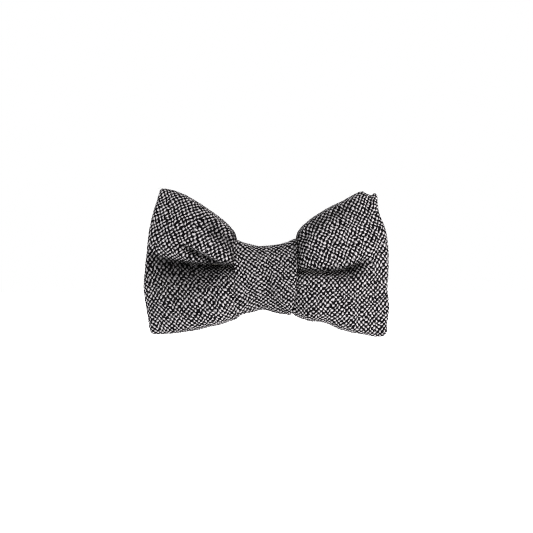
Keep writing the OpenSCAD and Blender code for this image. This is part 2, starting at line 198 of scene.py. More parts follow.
# Each wing's main pleat: its line, its depth, how fast the cloth comes back above and below it, and how far below it
# the colour is darkened as painted shade.
PLEAT = {
    ("front", -1): dict(z=spline([(0, 4), (12, 6.8), (17, 8.1), (23, 8.5), (29, 8.2), (37, 7.4), (43, 7.6), (50, 9.0), (56, 11), (60, 12)]),
                        depth=spline([(0, 0), (9, 0.6), (12, 4.2), (15, 7.6), (18, 9.4), (24, 10.0), (30, 9.5), (36, 8.4), (43, 6.8), (50, 5.0), (56, 3.2), (60, 2.0)]),
                        up=spline([(0, 0.85), (26, 0.85), (34, 1.5), (42, 3.0), (50, 4.5), (60, 5)]), down=spline([(0, 3.0), (16, 3.4), (20, 4.8), (25, 6.8), (30, 7.6), (60, 7.6)]), power=1.35,
                        painted_shade_reach=spline([(0, 3.4), (16, 4.0), (20, 6.8), (25, 10.4), (30, 10.2), (60, 9.4)]),
                        lap=spline([(0, 3), (25, 3), (33, 1.9), (41, 0.5), (48, 0), (60, 0)])),
    ("front", 1): dict(z=spline([(0, 3), (12, 5.3), (17, 5.8), (25, 5.6), (33, 5.5), (38, 5.7), (42, 6.4), (47, 8.0), (52, 9.8)]),
                       depth=spline([(0, 0), (9, 0.6), (12, 2.6), (15, 5.4), (19, 7.6), (27, 8.5), (34, 8.0), (40, 6.6), (45, 3.8), (50, 1.2), (54, 0), (60, 0)]),
                       up=spline([(0, 0.8), (34, 0.8), (42, 1.3), (50, 2.5), (60, 3)]), down=spline([(0, 2.4), (22, 2.6), (30, 3.0), (37, 3.8), (60, 3.8)]), power=1.6,
                       painted_shade_reach=spline([(0, 2.2), (22, 2.8), (30, 3.4), (37, 4.4), (44, 4.0), (60, 3.4)]),
                       lap=spline([(0, 3), (36, 3), (42, 1.5), (48, 0.3), (60, 0)])),
    ("back", -1): dict(z=spline([(0, 1), (20, 1.5), (50, 3)]),
                       depth=spline([(0, 0), (10, 0.4), (14, 1.8), (20, 2), (30, 1.3), (40, 0.4), (46, 0), (60, 0)]),
                       up=spline([(0, 2.2), (60, 2.2)]), down=spline([(0, 2.6), (60, 2.6)]), power=1.6, painted_shade_reach=spline([(0, 2.8), (60, 2.8)]), lap=spline([(0, 0.4), (60, 0.4)])),
    ("back", 1): dict(z=spline([(0, 1), (20, 0.5), (50, 2)]),
                      depth=spline([(0, 0), (10, 0.4), (14, 1.8), (20, 2), (30, 1.3), (40, 0.4), (46, 0), (60, 0)]),
                      up=spline([(0, 2.2), (60, 2.2)]), down=spline([(0, 2.6), (60, 2.6)]), power=1.6, painted_shade_reach=spline([(0, 2.8), (60, 2.8)]), lap=spline([(0, 0.4), (60, 0.4)])),
}
# Lesser drag lines: side, from (x, z), to (x, z), depth, width above the line and below it. They fade at both ends.
DRAGS = {
    "front": [(-1, (21.5, 7.2), (41.5, 17.2), 4.2, 0.8, 2.6), (-1, (15, 15), (31, 30), 1.5, 2.6, 3.2), (-1, (15, -7), (36, -13), 0.5, 2.6, 2.6),
              (-1, (17, 3), (25, -7), 1.0, 1.6, 2.6),
              (1, (16, 10), (34, 21), 0.4, 2.4, 2.4), (1, (15.5, 13), (21.5, 25.5), 1.1, 1.6, 1.8), (1, (20.5, 25.5), (44, 37), 0.9, 1.6, 2.4), (1, (15, -6), (38, -11), 0.6, 2.6, 2.6),
              (1, (51.5, 42), (46, 30), 0.9, 1.6, 1.6), (-1, (50, 41), (43, 31), 0.4, 2.2, 2.2), (1, (56, -26), (47, -19), 0.5, 2.2, 2.2),
              (-1, (54, -25), (46, -18), 0.4, 2.2, 2.2)],
    "back": [(-1, (15, 10), (34, 22), 0.6, 2.2, 2.2), (-1, (15, -8), (36, -14), 0.5, 2.4, 2.4), (1, (15, 10), (34, 20), 0.6, 2.2, 2.2),
             (1, (15, -8), (36, -14), 0.5, 2.4, 2.4), (1, (51, 42), (45, 30), 0.7, 1.7, 1.7), (-1, (50, 41), (43, 31), 0.4, 2.2, 2.2)],
}


def drag_at(drag, ax, z):
    """How deep a drag line is at a point, from 0 to 1."""
    which, a, b, dd, above, below = drag
    A, B = np.array(a, float), np.array(b, float)
    L = np.linalg.norm(B - A)
    u = (B - A) / L
    rx, rz = ax - A[0], z - A[1]
    along = (rx * u[0] + rz * u[1]) / L
    off = (-rx * u[1] + rz * u[0]) * np.sign(u[0])
    fade = smooth(-0.15, 0.2, along) * smooth(1.15, 0.6, along)
    return fade * np.where(off > 0, np.exp(-(off / above) ** 2), np.exp(-(off / below) ** 2))


def panel(face, s, v, depth=0.0):
    """A point of the front or back panel's face, in mm. s runs from -1 at the left end to 1 at the right, v from the bottom to the top."""
    s, v = np.broadcast_arrays(np.asarray(s, float), np.asarray(v, float))
    out = np.empty(s.shape + (3,))
    line = np.empty(s.shape)
    for side in (-1, 1):
        pick = s * side >= 0 if side > 0 else s < 0
        if not pick.any():
            continue
        q, vv = np.abs(s[pick]), v[pick]
        x, z, height = flat(side, q, vv)
        ax = np.abs(x)
        # how far in from the edge, in mm
        dv = np.minimum(vv, 1 - vv) * height
        ds = (1 - q) * 58
        r = 2.1
        edge = np.sqrt(np.clip(1 - (1 - np.clip(dv / r, 0, 1)) ** 2, 0, 1)) * np.sqrt(np.clip(1 - (1 - np.clip(ds / r, 0, 1)) ** 2, 0, 1))
        w = 2 * vv - 1
        lift = np.clip(1 - np.abs(w) ** 3.8, 0, 1) ** 0.52 * np.clip(1 - q**9, 0, 1) ** 0.7
        y = 1.75 * edge + (PUFF[face, side](ax) - 1.75) * lift * edge
        # the main pleat
        pl = PLEAT[face, side]
        t = z - pl["z"](ax)
        d = pl["depth"](ax)
        up, down = pl["up"](ax), pl["down"](ax)
        q_fold = np.where(t > 0, np.exp(-(np.clip(t, 0, None) / up) ** 2), np.exp(-(np.clip(-t, 0, None) / down) ** pl["power"]))
        y = y - d * q_fold * lift
        lap = pl["lap"](ax) * np.clip(d / 3, 0, 1)
        tt = np.clip(t, 0, None)
        z = z - lap * (1 - np.exp(-tt / 0.7)) * np.exp(-((tt / 3.0) ** 2)) * lift
        # the lip above the pleat stands a little proud
        y = y + 0.05 * d * np.exp(-((t - 4.5) / 2.8) ** 2) * lift
        for drag in DRAGS[face]:
            if drag[0] == side:
                y = y - drag[3] * drag_at(drag, ax, z) * edge
        # the cloth is never quite even
        y = y + (0.32 * noise(x / 13, z / 11, 3 if face == "front" else 5) + 0.12 * noise(x / 5, z / 5, 7 if face == "front" else 9)) * edge * smooth(10, 16, ax)
        y = np.maximum(y, 0.0)
        if depth:
            y = np.maximum(y - depth, 0.5)
        out[pick, 0] = x
        out[pick, 1] = (-y if face == "front" else y)
        out[pick, 2] = z
        line[pick] = t
    return out, line


def even_columns(face, n):
    s = np.linspace(-1, 1, 1601)
    length = 0
    for v in (0.03, 0.25, 0.5, 0.75, 0.97):
        P, _ = panel(face, s, np.full_like(s, v))
        length = length + np.concatenate([[0], np.cumsum(np.linalg.norm(np.diff(P, axis=0), axis=1))])
    length = np.maximum.accumulate(length + np.linspace(0, 1e-6, len(s)))
    out = np.interp(np.linspace(0, length[-1], n), length, s)
    out[0], out[-1] = -1, 1
    return out


def even_rows(face, s, m):
    """For each column, m values of v evenly spaced along the cloth."""
    fine = np.linspace(0, 1, 500)
    P, _ = panel(face, s[:, None], fine[None, :])
    d = np.linalg.norm(np.diff(P, axis=1), axis=2)
    L = np.concatenate([np.zeros((len(s), 1)), np.cumsum(d, axis=1)], axis=1)
    out = np.empty((len(s), m))
    for k in range(len(s)):
        out[k] = np.interp(np.linspace(0, L[k, -1], m), L[k], fine)
    # neighbouring columns agree
    pad = np.pad(out, ((3, 3), (0, 0)), mode="edge")
    out = sum(pad[k:k + len(s)] for k in range(7)) / 7
    out[:, 0], out[:, -1] = 0, 1
    return out


# ---------------------------------------------------------------- which way the yarns run
def lay_yarns(P, theta, cut_i, cut_j):
    """Yarn numbers (U, V) over a grid of points, so that one yarn is PITCH wide everywhere and they run at the angle theta,
    in degrees from +X in the X-Z plane. cut_i and cut_j are the weights of the grid's edges."""
    n = normals_of(P)
    a = np.stack([np.cos(np.radians(theta)), 0 * theta, np.sin(np.radians(theta))], -1)
    a = a - (a * n).sum(-1, keepdims=True) * n
    a /= np.maximum(np.linalg.norm(a, axis=-1, keepdims=True), 1e-6)
    b = np.cross(n, a)
    b *= np.sign(b[..., 2:3] + 1e-9)
    fields = []
    ei, ej = np.diff(P, axis=0), np.diff(P, axis=1)
    for g in (a, b):
        ti = ((g[1:] + g[:-1]) / 2 * ei).sum(-1) / PITCH
        tj = ((g[:, 1:] + g[:, :-1]) / 2 * ej).sum(-1) / PITCH

        def div(fi, fj):
            r = np.zeros(P.shape[:2])
            r[:-1] -= cut_i * fi
            r[1:] += cut_i * fi
            r[:, :-1] -= cut_j * fj
            r[:, 1:] += cut_j * fj
            return r
        rhs = div(ti, tj)
        # a good start: sum along the middle row, then up and down each column
        mid = P.shape[1] // 2
        x = np.zeros(P.shape[:2])
        x[1:, mid] = np.cumsum(ti[:, mid])
        x[:, mid + 1:] = x[:, mid:mid + 1] + np.cumsum(tj[:, mid:], axis=1)
        x[:, :mid] = x[:, mid:mid + 1] - np.cumsum(tj[:, :mid][:, ::-1], axis=1)[:, ::-1]
        x -= x.mean()
        op = lambda f: div(np.diff(f, axis=0), np.diff(f, axis=1))
        r = rhs - op(x)
        diag = np.zeros(P.shape[:2])
        diag[:-1] += cut_i; diag[1:] += cut_i; diag[:, :-1] += cut_j; diag[:, 1:] += cut_j
        zz = r / diag
        p = zz.copy()
        rz = (r * zz).sum()
        for _ in range(700):
            q = op(p)
            step = rz / max((p * q).sum(), 1e-30)
            x += step * p
            r -= step * q
            zz = r / diag
            new = (r * zz).sum()
            if new < 1e-9:
                break
            p = zz + (new / rz) * p
            rz = new
        fields.append(x)
    return fields


def up_grid(C, shape):
    """A coarse grid of values spread over a finer one."""
    i = np.linspace(0, C.shape[0] - 1, shape[0])
    j = np.linspace(0, C.shape[1] - 1, shape[1])
    i0 = np.clip(i.astype(int), 0, C.shape[0] - 2)
    j0 = np.clip(j.astype(int), 0, C.shape[1] - 2)
    fi, fj = (i - i0)[:, None], (j - j0)[None, :]
    g = lambda a, b: C[np.ix_(i0 + a, j0 + b)]
    return (g(0, 0) * (1 - fi) + g(1, 0) * fi) * (1 - fj) + (g(0, 1) * (1 - fi) + g(1, 1) * fi) * fj


def wander(U, V, seed):
    """Hand-spun yarns are never straight or evenly thick."""
    u = U + 0.35 * noise(U / 9, V / 7, seed) + 0.38 * noise(U / 2.1, V / 2.6, seed + 1) + 0.12 * noise(U / 0.9, V / 1.7, seed + 2)
    v = V + 0.35 * noise(U / 8, V / 10, seed + 3) + 0.38 * noise(U / 2.7, V / 2.2, seed + 4) + 0.12 * noise(U / 1.6, V / 0.8, seed + 5)
    return u, v


def yarn_height(U, V):
    """Plain weave, from 0 between yarns to 1 on top of a float."""
    iu, iv = np.floor(U), np.floor(V)
    fu, fv = U - iu - 0.5, V - iv - 0.5
    warp = (iu + iv) % 2 < 0.5
    a = np.where(warp, fu, fv)
    b = np.where(warp, fv, fu)
    fat = 1 + 0.22 * _hash(np.where(warp, iu, iv), np.where(warp, iv, iu), 91)
    return np.sqrt(np.clip(1 - (a / 0.56) ** 2, 0, 1)) * np.cos(math.pi * b * 0.96) * fat


RELIEF = 0.32
BEDS = []      # faces of tweed that loose fibres stand on: points and outward normals


def make_panel(face):
    ns, nv = ((421, 235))
    s = even_columns(face, ns)
    v = even_rows(face, s, nv)
    S = np.repeat(s[:, None], nv, axis=1)
    P, t = panel(face, S, v)
    # yarns, laid on every third point
    k = 3
    Pc, tc = P[::k, ::k], t[::k, ::k]
    x, z = Pc[..., 0], Pc[..., 2]
    ax = np.abs(x)
    if face == "front":
        up = np.where(x < 0, -23.0, 22.0)
        low = np.where(x < 0, 10.0, 0.0)
    else:
        up = np.where(x < 0, -13.0, 13.0)
        low = np.where(x < 0, 6.0, -6.0)
    width = 2.5 + 20 * smooth(26, 55, ax)
    turn = smooth(-0.5, 1.0, tc / width)
    theta = (low + (up - low) * turn) * smooth(3, 14, ax)
    near = (1 - smooth(34, 44, ax)) * (PLEAT["front", 1]["depth"](np.minimum(ax, 59)) > 0.3)
    cut = 1 - 0.98 * near * (np.abs(tc) < 1.3) * (1.0 if face == "front" else 0.0)
    wi = np.minimum(cut[1:], cut[:-1])
    wj = np.minimum(cut[:, 1:], cut[:, :-1])
    U, V = lay_yarns(Pc, theta, wi, wj)
    U, V = up_grid(U, P.shape[:2]), up_grid(V, P.shape[:2])
    seed = 11 if face == "front" else 31
    U, V = wander(U + 300, V + 300, seed)
    n = normals_of(P)
    n *= np.sign(n[..., 1:2].mean()) * (-1 if face == "front" else 1)
    P = P + n * (yarn_height(U, V)[..., None] - 0.45) * RELIEF
    BEDS.append((P + np.array([0, BOW_Y, BOW_Z]), n))
    # the two panels meet at the seam
    if face == "front":
        P[..., 1] = np.minimum(P[..., 1], -0.02)
    else:
        P[..., 1] = np.maximum(P[..., 1], 0.02)
    P = P + np.array([0, BOW_Y, BOW_Z])
    ii, jj = np.meshgrid(np.linspace(0.004, 0.996, P.shape[0]), np.linspace(0.004, 0.996, P.shape[1]), indexing="ij")
    # painted shade: how deep in a fold each point lies, used to darken the colour in and below the pleats
    ax = np.abs(P[..., 0])
    deep = np.where(P[..., 0] < 0, PLEAT[face, -1]["depth"](ax), PLEAT[face, 1]["depth"](ax))
    z = P[..., 2] - BOW_Z
    shade_reach = np.where(P[..., 0] < 0, PLEAT[face, -1]["painted_shade_reach"](ax), PLEAT[face, 1]["painted_shade_reach"](ax))
    fold = np.clip(deep / 5.5, 0, 1) * np.where(t < 0, np.exp(-(np.clip(-t, 0, None) / shade_reach) ** 1.5), 1 - smooth(1.2, 3.0, t))
    # more painted shade: along the branch crease, down the tuck by the knot and in the hollows by the top edges
    if face == "front":
        branch = 0.9 * drag_at((-1, (21.5, 7.2), (41.5, 17.2), 0, 0.9, 2.0), ax, z) * (P[..., 0] < 0)
        tuck = 0.85 * (1 - smooth(14.6, 19.0, ax)) * smooth(0, 9, z)
        hollow = np.where(P[..., 0] < 0, 0.62 * drag_at((-1, (15, 15), (31, 30), 0, 2.8, 3.4), ax, z),
                          0.50 * np.maximum(drag_at((1, (15.5, 13), (21.5, 25.5), 0, 1.6, 2.2), ax, z), drag_at((1, (20.5, 25.5), (44, 37), 0, 1.6, 2.4), ax, z)))
        for dim in (branch, tuck, hollow):
            fold = np.maximum(fold, dim)
    return grid_mesh("bow_%s_cloth" % face, P, flip=(face == "back"), fold=fold,
                     uvs={"Weave": np.stack([U, V], -1), "OFBake": np.stack([ii, jj], -1)})


# ---------------------------------------------------------------- the knot
KNOT_FRONT, KNOT_BACK, KNOT_H = 8.6, 7.8, 30.5
BAND_T = 1.3
K_LEFT = spline([(-70, -12.6), (0, -13), (60, -13.6), (90, -14.6), (115, -16.2), (140, -16), (180, -14.9), (215, -15.6), (245, -16.2), (270, -14.6), (300, -13), (360, -13), (380, -13)])
K_RIGHT = spline([(-70, 12.4), (0, 13), (60, 13.6), (90, 14.4), (120, 14.8), (180, 14.5), (205, 13.9), (235, 12.4), (255, 11.8), (270, 11.8), (300, 12.4), (360, 13), (380, 13)])


def sharpen(c, power=0.8):
    return np.sign(c) * np.abs(c) ** power


def knot_ring(x, f, off):
    c, s_ = np.cos(np.radians(f)), np.sin(np.radians(f))
    front = KNOT_FRONT + 0.004 * x * x
    half = np.where(s_ > 0, KNOT_H / 2 + 0.25 + 0.019 * x * x + 0.02 * x + 0.4 * np.exp(-(((x - 3) / 4) ** 2)), KNOT_H / 2 - 0.25 + 0.017 * x * x + 0.03 * x - 0.7 * np.exp(-(((x + 2) / 3) ** 2)) + 0.6 * np.exp(-(((x - 6) / 3.2) ** 2)))
    return np.stack([x + 0 * f, BOW_Y + (np.where(c < 0, front, KNOT_BACK) + off) * np.where(c < 0, sharpen(c, 0.6), sharpen(c)), BOW_Z + (half + off) * sharpen(s_)], -1)


def make_knot():
    r = BAND_T / 2
    # across the strip: a folded edge, the face, a folded edge. c is the distance along it
    step = 0.285
    lip = 2.4
    na = int(lip / step) + 1
    nb = int(math.pi * r / step) + 2
    nm = int(29 / step)
    sect = [(lip - lip * k / na + r, -BAND_T, 0) for k in range(na)]                                  # under, left: (in from edge, off, which)
    sect += [(r - r * math.sin(math.pi * k / nb), -r - r * math.cos(math.pi * k / nb), 0) for k in range(nb)]
    left = list(sect)
    mid = [k / nm for k in range(nm + 1)]
    # along the strip
    f = [-60 + 415 * k / int(98 / step) for k in range(int(98 / step) + 1)]
    deg = 415 / 98.0                                                                                   # degrees per mm, about
    curl = [(355 + deg * r * math.sin(math.pi * k / nb), -r * (1 - math.cos(math.pi * k / nb))) for k in range(1, nb + 1)]
    back = [(355 - deg * step * k, -BAND_T) for k in range(1, 9)]
    F = np.array(f + [c[0] for c in curl] + [c[0] for c in back])
    OFF = np.array([0.0] * len(f) + [c[1] for c in curl] + [c[1] for c in back])
    L, R = K_LEFT(F), K_RIGHT(F)
    X, O = [], []
    for inn, off, _ in left:
        X.append(L + inn); O.append(np.full_like(F, off))
    for m in mid:
        X.append(L + r + (R - L - 2 * r) * m); O.append(np.zeros_like(F))
    for inn, off, _ in left[::-1]:
        X.append(R - inn); O.append(np.full_like(F, off))
    X, O = np.stack(X, 1), np.stack(O, 1)
    FF = np.repeat(F[:, None], X.shape[1], 1)
    climb = (BAND_T + 0.2) * smooth(285, 299, FF)
    # a soft crown across the strip, edges pulled down, and a few drag lines
    w = (X - L[:, None]) / (R - L)[:, None] * 2 - 1
    face = np.clip(1 - np.abs(w) ** 4, 0, 1)
    ripple = 0.22 * noise(X / 7, FF / 34, 41) + 0.10 * noise(X / 3.2, FF / 15, 43)
    ripple += -0.75 * np.exp(-((X - 2.0 - 0.11 * (FF - 190)) / 2.0) ** 2) * smooth(165, 195, FF) * smooth(275, 245, FF)
    off = np.maximum(O + OFF[:, None], -BAND_T) + climb + (0.25 * face + ripple * face) * (O + OFF[:, None] > -0.01)
    P = knot_ring(X, FF, off)
    k = 2
    Pc = P[::k, ::k]
    n = normals_of(Pc)
    # the yarns run along the strip and across it
    e = np.gradient(Pc, axis=0)
    e /= np.maximum(np.linalg.norm(e, axis=2, keepdims=True), 1e-9)
    ang = -np.radians(4 + 10 * smooth(120, 230, FF[::k, ::k]))[..., None]
    c = np.cross(n, e)
    aa = np.cos(ang) * c + np.sin(ang) * e
    bb = -np.sin(ang) * c + np.cos(ang) * e
    fields = []
    one_i, one_j = np.ones((Pc.shape[0] - 1, Pc.shape[1])), np.ones((Pc.shape[0], Pc.shape[1] - 1))
    for g in (aa, bb):
        ti = ((g[1:] + g[:-1]) / 2 * np.diff(Pc, axis=0)).sum(-1) / (0.94 * PITCH)
        tj = ((g[:, 1:] + g[:, :-1]) / 2 * np.diff(Pc, axis=1)).sum(-1) / (0.94 * PITCH)
        fields.append(solve(ti, tj, one_i, one_j))
    U, V = up_grid(fields[0], P.shape[:2]), up_grid(fields[1], P.shape[:2])
    U, V = wander(U + 200, V + 200, 51)
    n = normals_of(P)
    centre = np.array([0, BOW_Y, BOW_Z])
    out = P - centre
    out[..., 0] = 0
    mid_col = P.shape[1] // 2
    if (n[:, mid_col] * out[:, mid_col]).sum() < 0:
        n = -n
        flip = True
    else:
        flip = False
    P = P + n * (yarn_height(U, V)[..., None] - 0.45) * RELIEF
    keep = slice(len(left) + 2, len(left) + len(mid) - 2)
    rows = slice(int(len(f) * 0.33), int(len(f) * 0.97))
    BEDS.append((P[rows, keep], n[rows, keep]))
    ii, jj = np.meshgrid(np.linspace(0.004, 0.996, P.shape[0]), np.linspace(0.004, 0.996, P.shape[1]), indexing="ij")
    # painted shade on the knot: a slight darkening all over, a dark diagonal along the ripple and a dark band down the
    # right edge where the wing dives under it; a lighter patch is painted over part of the strip
    fold = 0.08 + 0.24 * np.exp(-((X - 2.0 - 0.11 * (FF - 190)) / 2.2) ** 2) * smooth(165, 195, FF) * smooth(275, 245, FF)
    fold = fold - 0.16 * smooth(140, 112, FF) * smooth(70, 95, FF) + 0.6 * smooth(0.74, 0.98, w) * smooth(178, 150, FF) * smooth(98, 118, FF)
    return grid_mesh("knot_band_cloth", P, flip=flip, fold=fold, uvs={"Weave": np.stack([U, V], -1), "OFBake": np.stack([jj, ii], -1)})


def solve(ti, tj, wi, wj):
    shape = (ti.shape[0] + 1, ti.shape[1])

    def div(fi, fj):
        r = np.zeros(shape)
        r[:-1] -= wi * fi
        r[1:] += wi * fi
        r[:, :-1] -= wj * fj
        r[:, 1:] += wj * fj
        return r
    rhs = div(ti, tj)
    mid = shape[1] // 2
    x = np.zeros(shape)
    x[1:, mid] = np.cumsum(ti[:, mid])
    x[:, mid + 1:] = x[:, mid:mid + 1] + np.cumsum(tj[:, mid:], axis=1)
    x[:, :mid] = x[:, mid:mid + 1] - np.cumsum(tj[:, :mid][:, ::-1], axis=1)[:, ::-1]
    diag = np.zeros(shape)
    diag[:-1] += wi; diag[1:] += wi; diag[:, :-1] += wj; diag[:, 1:] += wj
    op = lambda g: div(np.diff(g, axis=0), np.diff(g, axis=1))
    r = rhs - op(x)
    zz = r / diag
    p = zz.copy()
    rz = (r * zz).sum()
    for _ in range(500):
        q = op(p)
        step = rz / max((p * q).sum(), 1e-30)
        x += step * p
        r -= step * q
        zz = r / diag
        new = (r * zz).sum()
        if new < 1e-9:
            break
        p = zz + (new / rz) * p
        rz = new
    return x


# ---------------------------------------------------------------- thread and wire
def tube(points, radius, sides=8, closed=False, ply=0.0, turn=0.0):
    """Rings of points round a path, in mm. ply makes it of two twisted strands, one full turn in `turn` mm."""
    p = np.array(points, float)
    if closed:
        d = np.roll(p, -1, 0) - np.roll(p, 1, 0)
    else:
        d = np.gradient(p, axis=0)
    d /= np.maximum(np.linalg.norm(d, axis=1, keepdims=True), 1e-9)
    u = np.zeros_like(p)
    ref = np.array([0.3, 0.5, 0.81])
    u[0] = np.cross(d[0], ref)
    u[0] /= np.linalg.norm(u[0])
    for k in range(1, len(p)):
        u[k] = u[k - 1] - (u[k - 1] @ d[k]) * d[k]
        u[k] /= max(np.linalg.norm(u[k]), 1e-9)
    w = np.cross(d, u)
    L = np.concatenate([[0], np.cumsum(np.linalg.norm(np.diff(p, axis=0), axis=1))])
    a = np.arange(sides) * 2 * math.pi / sides
    r = radius * (1 + (ply * np.cos(2 * (a[None, :] - (2 * math.pi * L / turn)[:, None])) if ply else 0 * a[None, :]))
    r = r * np.ones((len(p), 1))
    return p[:, None] + r[..., None] * (np.cos(a)[None, :, None] * u[:, None] + np.sin(a)[None, :, None] * w[:, None])


def tubes_object(name, rings, closed=False):
    """One mesh from several tubes, each closed at its ends."""
    verts, faces, at = [], [], 0
    for ring in rings:
        n, k = ring.shape[:2]
        verts.append(ring.reshape(-1, 3))
        for i in range(n if closed else n - 1):
            i2 = (i + 1) % n
            for j in range(k):
                j2 = (j + 1) % k
                faces.append((at + i * k + j, at + i * k + j2, at + i2 * k + j2, at + i2 * k + j))
        if not closed:
            faces.append(tuple(at + j for j in range(k))[::-1])
            faces.append(tuple(at + (n - 1) * k + j for j in range(k)))
        at += n * k
    me = bpy.data.meshes.new(name)
    me.from_pydata((np.concatenate(verts) * MM).tolist(), [], faces)
    me.polygons.foreach_set("use_smooth", np.ones(len(me.polygons), bool))
    me.validate()
    me.update()
    import bmesh
    bm = bmesh.new()
    bm.from_mesh(me)
    bmesh.ops.recalc_face_normals(bm, faces=bm.faces)
    bm.to_mesh(me)
    bm.free()
    o = bpy.data.objects.new(name, me)
    bpy.context.scene.collection.objects.link(o)
    return o


def rounded_path(points, step=0.08, r=0.25):
    """A path through the points with its corners rounded."""
    p = [np.array(q, float) for q in points]
    out = [p[0]]
    for k in range(1, len(p) - 1):
        a, b, c = p[k - 1], p[k], p[k + 1]
        ra = min(r, np.linalg.norm(a - b) * 0.45)
        rc = min(r, np.linalg.norm(c - b) * 0.45)
        s = b + (a - b) / np.linalg.norm(a - b) * ra
        e = b + (c - b) / np.linalg.norm(c - b) * rc
        for t in np.linspace(0, 1, 6):
            out.append((1 - t) ** 2 * s + 2 * t * (1 - t) * b + t * t * e)
    out.append(p[-1])
    res = [out[0]]
    for a, b in zip(out[:-1], out[1:]):
        n = max(1, int(np.linalg.norm(b - a) / step))
        for t in range(1, n + 1):
            res.append(a + (b - a) * t / n)
    return np.array(res)


# ---------------------------------------------------------------- materials
class Tree:
    def __init__(self, name):
        self.mat = bpy.data.materials.new(name)
        self.mat.use_nodes = True
        self.t = self.mat.node_tree
        self.t.nodes.clear()
        self.out = self.t.nodes.new("ShaderNodeOutputMaterial")
        self.bsdf = self.t.nodes.new("ShaderNodeBsdfPrincipled")
        self.t.links.new(self.bsdf.outputs["BSDF"], self.out.inputs["Surface"])

    def node(self, kind, **props):
        n = self.t.nodes.new(kind)
        for k, v in props.items():
            setattr(n, k, v)
        return n

    def put(self, socket, value):
        if isinstance(value, bpy.types.NodeSocket):
            self.t.links.new(value, socket)
        else:
            socket.default_value = value

    def math(self, op, *args, clamp=False):
        n = self.node("ShaderNodeMath", operation=op, use_clamp=clamp)
        for k, a in enumerate(args):
            self.put(n.inputs[k], a)
        return n.outputs[0]

    def mix(self, f, a, b):
        """a + (b - a) * f for numbers"""
        n = self.node("ShaderNodeMix", data_type="FLOAT", clamp_factor=True)
        self.put(n.inputs[0], f); self.put(n.inputs[2], a); self.put(n.inputs[3], b)
        return n.outputs[0]

    def mix_colour(self, f, a, b, blend="MIX"):
        n = self.node("ShaderNodeMix", data_type="RGBA", blend_type=blend, clamp_factor=True)
        self.put(n.inputs[0], f); self.put(n.inputs[6], a); self.put(n.inputs[7], b)
        return n.outputs[2]

    def step(self, x, lo, hi, a=0.0, b=1.0):
        n = self.node("ShaderNodeMapRange", interpolation_type="SMOOTHSTEP", clamp=True)
        self.put(n.inputs[0], x); self.put(n.inputs[1], lo); self.put(n.inputs[2], hi); self.put(n.inputs[3], a); self.put(n.inputs[4], b)
        return n.outputs[0]

    def noise(self, vector, scale, detail=2.0, rough=0.5, dims="3D"):
        n = self.node("ShaderNodeTexNoise", noise_dimensions=dims)
        if vector is not None:
            self.put(n.inputs["Vector"], vector)
        n.inputs["Scale"].default_value = scale
        n.inputs["Detail"].default_value = detail
        n.inputs["Roughness"].default_value = rough
        return n.outputs[0]

    def white(self, x, y, z=0.0):
        c = self.node("ShaderNodeCombineXYZ")
        self.put(c.inputs[0], x); self.put(c.inputs[1], y); self.put(c.inputs[2], z)
        n = self.node("ShaderNodeTexWhiteNoise", noise_dimensions="3D")
        self.t.links.new(c.outputs[0], n.inputs["Vector"])
        return n.outputs["Value"]

    def bump(self, height, distance, strength=1.0, normal=None):
        n = self.node("ShaderNodeBump")
        n.inputs["Strength"].default_value = strength
        n.inputs["Distance"].default_value = distance
        self.put(n.inputs["Height"], height)
        if normal is not None:
            self.put(n.inputs["Normal"], normal)
        return n.outputs[0]


